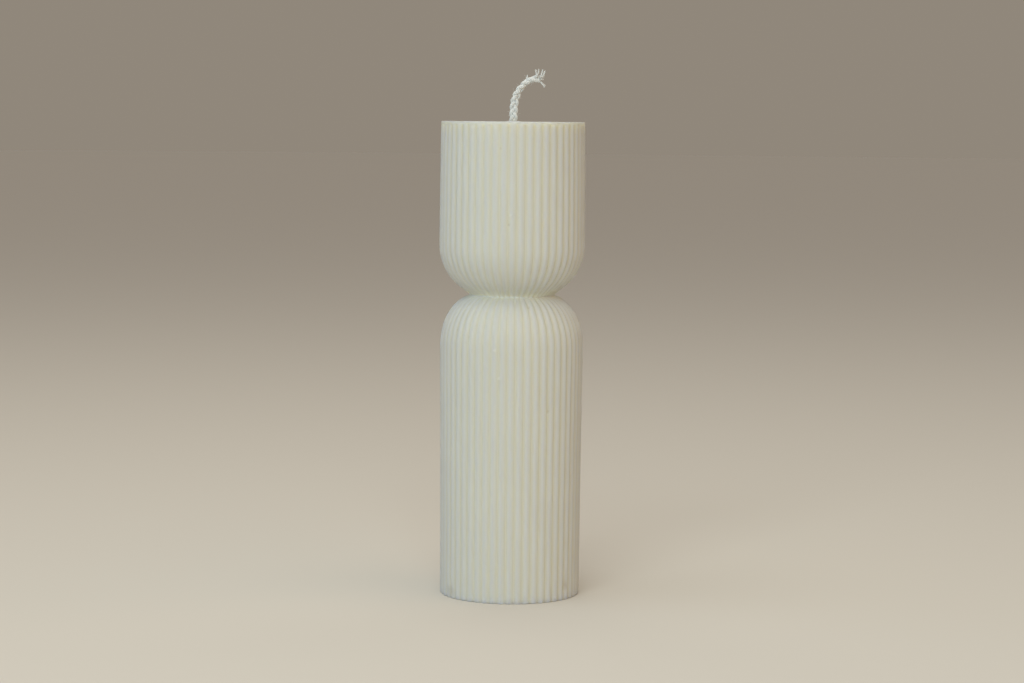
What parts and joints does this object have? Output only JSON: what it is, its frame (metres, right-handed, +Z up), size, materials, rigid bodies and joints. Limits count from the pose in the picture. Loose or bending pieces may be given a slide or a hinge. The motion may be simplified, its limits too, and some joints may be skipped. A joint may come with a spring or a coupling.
{
  "type": "pillar candle",
  "caption": "Ribbed pillar candle of cast ivory wax with a rounded waist above its middle, and a plaited cotton wick that bends over and frays at its tip.",
  "frame": {"origin": "centre of the flat base, on the candle's axis", "axes": "+Z up along the candle's axis; +X the side that the wick leans to; -Y the side that faces the viewer"},
  "size_m": [0.05, 0.05, 0.1822],
  "materials": {
    "wax": "satin",
    "wick_cotton": "matte"
  },
  "bodies": {
    "root": {"wax_body": "wax", "wick_strand_1": "wick_cotton", "wick_strand_2": "wick_cotton", "wick_strand_3": "wick_cotton", "wick_thread_1": "wick_cotton", "wick_thread_2": "wick_cotton", "wick_thread_3": "wick_cotton", "wick_thread_4": "wick_cotton", "wick_thread_5": "wick_cotton", "wick_thread_6": "wick_cotton", "wick_thread_7": "wick_cotton"}
  },
  "joints": []
}
